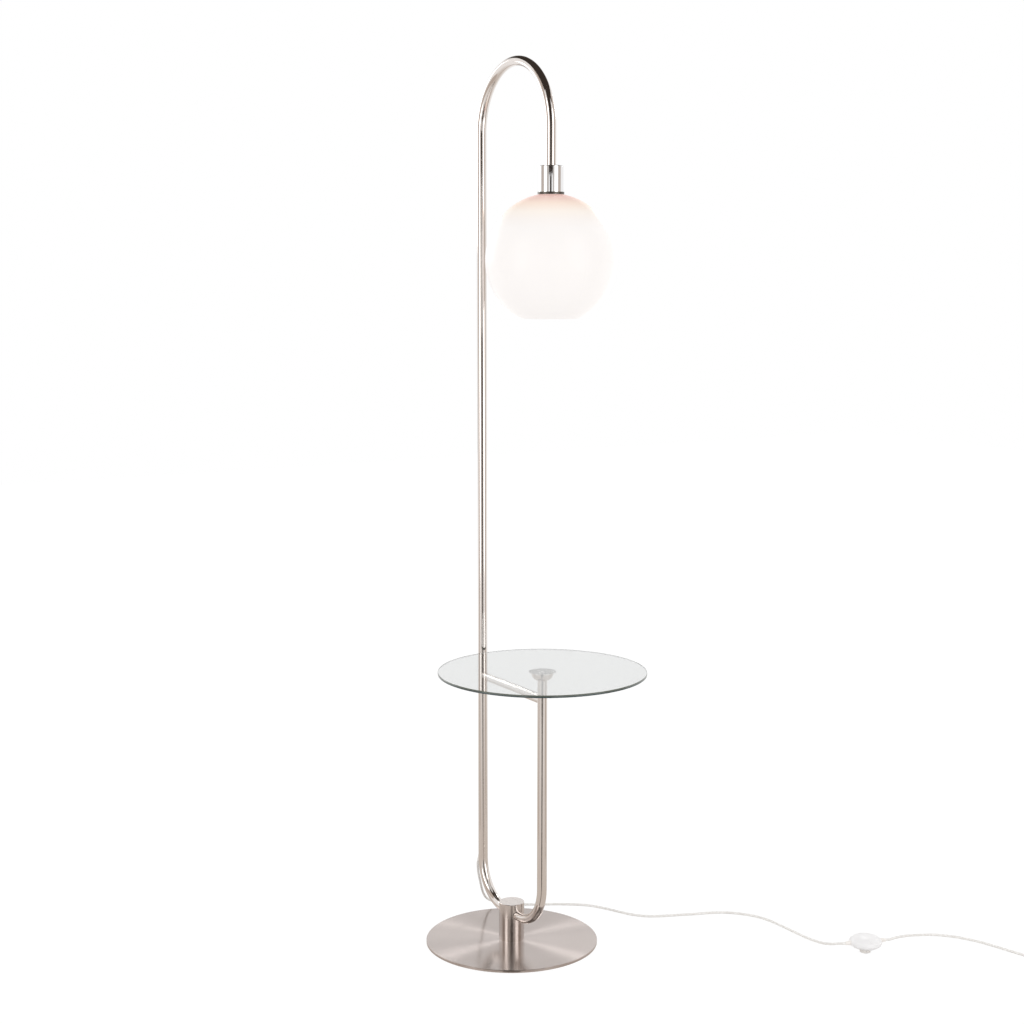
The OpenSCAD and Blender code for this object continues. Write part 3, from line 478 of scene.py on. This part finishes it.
def turned_satin(name, dark, light):
    """Turned metal: a clear reflection, and one that the rings spread along the radius."""
    made, shade = start_material(name)
    ring = shade.node("TexNoise", {"noise_dimensions": "1D"}, {
        "W": radius_from(shade) * 1500, "Scale": 1.0, "Detail": 2, "Roughness": 0.7})
    cloudy = noise(shade, 14, 3)
    colour = (0.6 * ring + 0.4 * cloudy).step(0.2, 0.8).mix(dark, light)
    clear = shade.node("BsdfPrincipled", None, {
        "Base Color": colour, "Metallic": 1.0, "Roughness": 0.14 + 0.04 * cloudy})
    spread = shade.node("BsdfPrincipled", None, {
        "Base Color": colour, "Metallic": 1.0, "Roughness": 0.32, "Anisotropic": 1.0,
        "Anisotropic Rotation": 0.25})
    return finish_material(made, shade, shade.node("MixShader", None, {
        0: 0.3 + 0.2 * ring, 1: clear, 2: spread}))


paint(turned_satin("base_satin", (0.52, 0.46, 0.43), (0.60, 0.535, 0.505)), "base_plate")


# ---------- Post and its plug ----------
# The post is turned from bar, slotted from above for the tube, and closed over it by a
# saddle block that the screw pulls down. Both are satin nickel, rubbed upright.

def rubbed_satin(name, dark, light, rough):
    made, shade = start_material(name)
    lines = noise(shade, 1, 2, 0.6, (2600, 2600, 60))
    cloudy = noise(shade, 20)
    shader = shade.node("BsdfPrincipled", None, {
        "Base Color": (0.6 * lines + 0.4 * cloudy).step(0.3, 0.7).mix(dark, light),
        "Metallic": 1.0, "Roughness": rough + 0.07 * lines,
        "Normal": bump(shade, lines, 0.08, 0.0002)})
    return finish_material(made, shade, shader)


paint(rubbed_satin("post_satin", (0.64, 0.585, 0.555), (0.75, 0.70, 0.67), 0.17),
      "post", "post_plug")


# ---------- Screws, studs and inserts ----------
# Zinc plated steel: the screw and the pin that hold the post, the threaded inserts in the
# tube ends, the table's stud, and the switch's small screws.

def plated_steel():
    made, shade = start_material("zinc_plated")
    crystal = shade.node("TexVoronoi", None, {"Vector": place(shade), "Scale": 700.0})
    shader = shade.node("BsdfPrincipled", None, {
        "Base Color": crystal.mix((0.50, 0.50, 0.52), (0.64, 0.64, 0.66)), "Metallic": 1.0,
        "Roughness": 0.28 + 0.1 * noise(shade, 500), "Normal": bump(shade, crystal, 0.05, 0.0002)})
    return finish_material(made, shade, shader)


zinc = plated_steel()
paint(zinc, "clamp_screw", "locating_pin", "pole_insert", "arch_insert", "riser_insert",
      "drop_insert", "table_stud", "switch_screws")


# ---------- Bent tube, cross bar and arch ----------
# One tube of 19 mm is bent twice: its long leg is the pole and its short leg carries the
# table. The cross bar is soldered between them, and the arch is screwed on the pole at the
# seam. All are polished along the tube and nickel plated.

def polished_nickel():
    made, shade = start_material("polished_nickel")
    lines = noise(shade, 1, 1, 0.5, (500, 500, 12))
    cloudy = noise(shade, 9, 3)
    shader = shade.node("BsdfPrincipled", None, {
        "Base Color": (0.4 * lines + 0.6 * cloudy).step(0.2, 0.8).mix(
            (0.765, 0.71, 0.675), (0.80, 0.75, 0.715)),
        "Metallic": 1.0, "Roughness": 0.08 + 0.03 * cloudy})
    return finish_material(made, shade, shader)


nickel = polished_nickel()
paint(nickel, "u_tube", "cross_bar", "arch_tube", "neck_ring")


# ---------- Table ----------
# A bowl on the tube's end and a thin disc bonded under the glass carry the table top: a
# round pane of 5 mm float glass with a polished edge, which looks dark green from the side.

paint(nickel, "table_bell")


def disc_satin():
    made, shade = start_material("disc_satin")
    cloudy = noise(shade, 60, 3)
    shader = shade.node("BsdfPrincipled", None, {
        "Base Color": cloudy.mix((0.86, 0.85, 0.84), (0.93, 0.92, 0.91)),
        "Metallic": 1.0, "Roughness": 0.22 + 0.08 * cloudy})
    return finish_material(made, shade, shader)


paint(disc_satin(), "glass_disc")


def soft_seal():
    made, shade = start_material("soft_seal")
    shader = shade.node("BsdfPrincipled", None, {
        "Base Color": noise(shade, 300).mix((0.55, 0.55, 0.53), (0.66, 0.66, 0.64)),
        "Roughness": 0.55, "Normal": bump(shade, noise(shade, 900), 0.1, 0.0003)})
    return finish_material(made, shade, shader)


paint(soft_seal(), "bell_washer", "globe_gasket")


def float_glass():
    """Clear pane with a green edge. It is open where the disc is bonded under it."""
    made, shade = start_material("float_glass")
    low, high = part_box("glass_top")
    disc_low, disc_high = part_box("glass_disc")
    pane_r, disc_r = (high.x - low.x) / 2, (disc_high.x - disc_low.x) / 2
    reach = radius_from(shade, (low.x + high.x) / 2)
    height = shade.node("SeparateXYZ", None, {0: place(shade)}, out=2)
    rim = reach.step(pane_r - 0.0007, pane_r - 0.0003)
    edge = rim * height.step(low.z + 0.0005, low.z + 0.0009)
    underside = height.step(low.z + 0.0003, low.z + 0.0001)
    bonded = reach.step(disc_r, disc_r - 0.0003) * underside
    clear = shade.node("BsdfPrincipled", None, {
        "Base Color": noise(shade, 8).mix((0.725, 0.735, 0.73), (0.74, 0.75, 0.745)),
        "Roughness": 0.0, "IOR": 1.52, "Transmission Weight": 1.0, "Alpha": 1.0 - bonded})
    green = shade.node("BsdfPrincipled", None, {
        "Base Color": height.step(low.z + 0.001, low.z + 0.004).mix(
            (0.05, 0.08, 0.088), (0.13, 0.14, 0.115)),
        "Roughness": 0.15, "IOR": 1.52, "Coat Weight": 0.3})
    return finish_material(made, shade, shade.node("MixShader", None, {
        0: edge * 0.9, 1: clear, 2: green}))


paint(float_glass(), "glass_top")


# ---------- Lamp holder ----------
# The nipple and its nut hang the moulded holder in the cup: a cap, the threaded skirt with
# the brass shell and contact, and the ring that clamps the globe from below.

def plain_brass():
    made, shade = start_material("brass")
    shader = shade.node("BsdfPrincipled", None, {
        "Base Color": noise(shade, 160).mix((0.66, 0.50, 0.25), (0.76, 0.60, 0.33)),
        "Metallic": 1.0, "Roughness": 0.25 + 0.1 * noise(shade, 700)})
    return finish_material(made, shade, shader)


paint(plain_brass(), "arch_stud", "nipple", "lock_nut", "screw_shell", "holder_contact",
      "switch_bridge", "switch_contacts")


def black_moulding():
    made, shade = start_material("black_moulding")
    spark = noise(shade, 2200, 3)
    shader = shade.node("BsdfPrincipled", None, {
        "Base Color": spark.mix((0.016, 0.016, 0.016), (0.035, 0.035, 0.035)),
        "Roughness": 0.42 + 0.1 * spark, "Normal": bump(shade, spark, 0.15, 0.0002)})
    return finish_material(made, shade, shader)


paint(black_moulding(), "holder_cap", "holder_skirt", "retaining_ring", "bulb_insulator",
      "cord_tie", "plug_sleeves")


# ---------- Cup and collar ----------
# The cup is drawn from brass sheet and chromed like a mirror, as is the bulb's base. The
# collar under it, on which the globe hangs, is blackened.

def mirror_chrome():
    made, shade = start_material("mirror_chrome")
    shader = shade.node("BsdfPrincipled", None, {
        "Base Color": noise(shade, 30).mix((0.84, 0.83, 0.83), (0.88, 0.87, 0.87)),
        "Metallic": 1.0, "Roughness": 0.03 + 0.03 * noise(shade, 60)})
    return finish_material(made, shade, shader)


chrome = mirror_chrome()
paint(chrome, "cup", "bulb_base")


def blackened_metal():
    made, shade = start_material("blackened_metal")
    shader = shade.node("BsdfPrincipled", None, {
        "Base Color": noise(shade, 300).mix((0.09, 0.08, 0.07), (0.16, 0.145, 0.13)),
        "Metallic": 1.0, "Roughness": 0.3 + 0.1 * noise(shade, 900)})
    return finish_material(made, shade, shader)


paint(blackened_metal(), "collar")


# ---------- Globe and bulb ----------
# The globe is blown opal glass with a fire-polished mouth. The bulb's glow through it is painted
# in as emission, and painted shade makes it darker and redder under the collar at its neck.

NECK_SHADE_GAP, NECK_SHADE_TALL = 0.0025, 0.06


def opal_glass():
    """Milk glass with a painted glow, and painted shade that makes its top darker and redder."""
    made, shade = start_material("opal_glass")
    height = shade.node("SeparateXYZ", None, {0: place(shade)}, out=2)
    up = (height - (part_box("globe")[1].z - NECK_SHADE_GAP - NECK_SHADE_TALL)) / NECK_SHADE_TALL
    cloudy = noise(shade, 12)
    # Painted glow, which painted shade makes darker and redder towards the collar.
    painted_glow_and_shade = shade.node("ValToRGB", {"stops": [
        (0.0, (0.48, 0.46, 0.455)), (0.25, (0.485, 0.45, 0.432)), (0.5, (0.508, 0.448, 0.393)),
        (0.75, (0.503, 0.355, 0.266)), (1.0, (0.40, 0.165, 0.13))]}, {"Fac": up})
    shader = shade.node("BsdfPrincipled", None, {
        "Base Color": cloudy.mix((0.47, 0.455, 0.44), (0.49, 0.475, 0.46)), "Roughness": 0.3,
        "Specular IOR Level": 0.2, "Emission Color": painted_glow_and_shade, "Emission Strength": 1.0})
    return finish_material(made, shade, shader)


paint(opal_glass(), "globe")


def frosted_bulb():
    made, shade = start_material("frosted_bulb")
    shader = shade.node("BsdfPrincipled", None, {
        "Base Color": (0.9, 0.88, 0.84, 1), "Roughness": 0.3,
        "Emission Color": noise(shade, 40).mix((1.0, 0.90, 0.78), (1.0, 0.94, 0.86)),
        "Emission Strength": 1.0})
    return finish_material(made, shade, shader)


paint(frosted_bulb(), "bulb_glass")


# ---------- Reliefs, button and plug body ----------
# Soft mouldings in the cord's own pale beige: the relief at the pole, the reliefs, block and
# button of the foot switch, and the plug.

def pale_moulding():
    made, shade = start_material("pale_moulding")
    spark = noise(shade, 1600, 3)
    shader = shade.node("BsdfPrincipled", None, {
        "Base Color": noise(shade, 90).mix((0.84, 0.80, 0.76), (0.91, 0.875, 0.84)),
        "Roughness": 0.4 + 0.1 * spark, "Normal": bump(shade, spark, 0.1, 0.0002)})
    return finish_material(made, shade, shader)


paint(pale_moulding(), "lead_relief", "switch_block", "switch_button", "switch_reliefs",
      "plug_body")


# ---------- Foot switch ----------
# Two clear moulded shells, screwed together and thicker here than the solids, hold the contact
# block. The switch stands on its button, which a spring of steel wire pushes down.

def clear_shell():
    made, shade = start_material("clear_shell")
    shader = shade.node("BsdfPrincipled", None, {
        "Base Color": noise(shade, 50).mix((0.98, 0.965, 0.965), (0.995, 0.985, 0.985)),
        "Roughness": 0.28 + 0.06 * noise(shade, 300), "Specular IOR Level": 0.3,
        "Transmission Weight": 0.15})
    return finish_material(made, shade, shader)


SHELL_R, SHELL_UP, SHELL_WALL, SHELL_SIDES = 0.03225, 0.0135, 0.002, 96
HOLE_R, SEAT_R, SEAT_Z = 0.01105, 0.01345, 0.0134
BOSS_R, BOSS_TALL, BOSS_REACH, BOSS_TURN = 0.0035, 0.0085, 0.02345, 162


def arc(wide, tall, from_r, steps):
    """Quarter of an ellipse, from its top at radius from_r to its widest place."""
    first = math.asin(min(from_r / wide, 1))
    turns = [first + (math.pi / 2 - first) * i / steps for i in range(steps + 1)]
    return [(wide * math.sin(t), tall * math.cos(t)) for t in turns]


def shell_mesh(name, outline, boss_low, boss_high):
    """Shell turned from its outline of radius and height, with the two bosses of its screws."""
    work = bmesh.new()
    columns = []
    for k in range(SHELL_SIDES):
        a = 2 * math.pi * k / SHELL_SIDES
        columns.append([work.verts.new((SWITCH.x + r * math.cos(a), SWITCH.y + r * math.sin(a), z))
                        for r, z in outline])
    for k in range(SHELL_SIDES):
        one, two = columns[k], columns[(k + 1) % SHELL_SIDES]
        for i in range(len(outline)):
            j = (i + 1) % len(outline)
            if outline[i][0] > 1e-6 or outline[j][0] > 1e-6:
                work.faces.new((one[i], two[i], two[j], one[j]))
    bmesh.ops.remove_doubles(work, verts=work.verts, dist=1e-7)
    for side in (-1, 1):
        foot = SWITCH + side * BOSS_REACH * heading(BOSS_TURN)
        boss = bmesh.ops.create_cone(work, cap_ends=True, segments=24, radius1=BOSS_R,
                                     radius2=BOSS_R, depth=boss_high - boss_low)
        bmesh.ops.translate(work, verts=boss["verts"],
                            vec=(foot.x, foot.y, (boss_low + boss_high) / 2))
    bmesh.ops.recalc_face_normals(work, faces=work.faces)
    mesh = bpy.data.meshes.new(name)
    work.to_mesh(mesh)
    work.free()
    for face in mesh.polygons:
        face.use_smooth = True
    mesh.set_sharp_from_angle(angle=math.radians(40))
    made = bpy.data.objects.new(name, mesh)
    bpy.context.scene.collection.objects.link(made)
    made.data.materials.append(shell_plastic)
    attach(made, "lamp")
    return made


shell_plastic = clear_shell()
inner_r, inner_up = SHELL_R - SHELL_WALL, SHELL_UP - SHELL_WALL
outer = [(r, SWITCH.z + z) for r, z in arc(SHELL_R, SHELL_UP, 0, 20)]
inner = [(r, SWITCH.z + z) for r, z in arc(inner_r, inner_up, 0, 20)]
upper_shell = shell_mesh("upper_shell", [*outer, *reversed(inner)], SWITCH.z, SWITCH.z + BOSS_TALL)
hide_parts("switch_upper_shell")
outer = [(r, SWITCH.z - z) for r, z in arc(SHELL_R, SHELL_UP, HOLE_R, 16)]
inner = [(r, SWITCH.z - z) for r, z in arc(inner_r, inner_up, SEAT_R, 16)]
seat = [(SEAT_R, SEAT_Z), (HOLE_R, SEAT_Z)]
lower_shell = shell_mesh("lower_shell", [*outer, *reversed(inner), *seat],
                         SWITCH.z - BOSS_TALL, SWITCH.z)
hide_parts("switch_lower_shell")

SPRING_TURNS = 4
SPRING_WIRE = 0.0008


def spring_mesh(name, wire_d, sides, steps):
    """Wire wound from the button up to the block, as a tube with closed ends."""
    low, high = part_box("switch_spring")
    middle = Vector(((low.x + high.x) / 2, (low.y + high.y) / 2, 0))
    wind_r = (high.x - low.x - wire_d) / 2
    z0, z1 = low.z + wire_d / 2, high.z - wire_d / 2
    work = bmesh.new()
    rings = []
    last = steps * SPRING_TURNS
    for i in range(last + 1):
        turn = 2 * math.pi * i / steps
        out = Vector((math.cos(turn), math.sin(turn), 0))
        spot = middle + wind_r * out + Vector((0, 0, z0 + (z1 - z0) * i / last))
        ring = []
        for k in range(sides):
            a = 2 * math.pi * k / sides
            ring.append(work.verts.new(
                spot + wire_d / 2 * (math.cos(a) * out + math.sin(a) * Vector((0, 0, 1)))))
        rings.append(ring)
    for one, two in zip(rings, rings[1:]):
        for k in range(sides):
            work.faces.new((one[k], one[(k + 1) % sides], two[(k + 1) % sides], two[k]))
    work.faces.new(reversed(rings[0]))
    work.faces.new(rings[-1])
    bmesh.ops.recalc_face_normals(work, faces=work.faces)
    mesh = bpy.data.meshes.new(name)
    work.to_mesh(mesh)
    work.free()
    for face in mesh.polygons:
        face.use_smooth = len(face.vertices) == 4
    made = bpy.data.objects.new(name, mesh)
    bpy.context.scene.collection.objects.link(made)
    return made


spring = spring_mesh("button_spring", SPRING_WIRE, 8, 24)
spring.data.materials.append(zinc)
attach(spring, "lamp")
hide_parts("switch_spring")
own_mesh(spring)


# ---------- Plug pins ----------
# Two round pins of 4 mm nickel plated brass. They are moulded into the plug's body and half
# sleeved in black, so that no live metal shows while the plug goes in.

paint(chrome, "plug_pins")


bpy.context.view_layer.update()
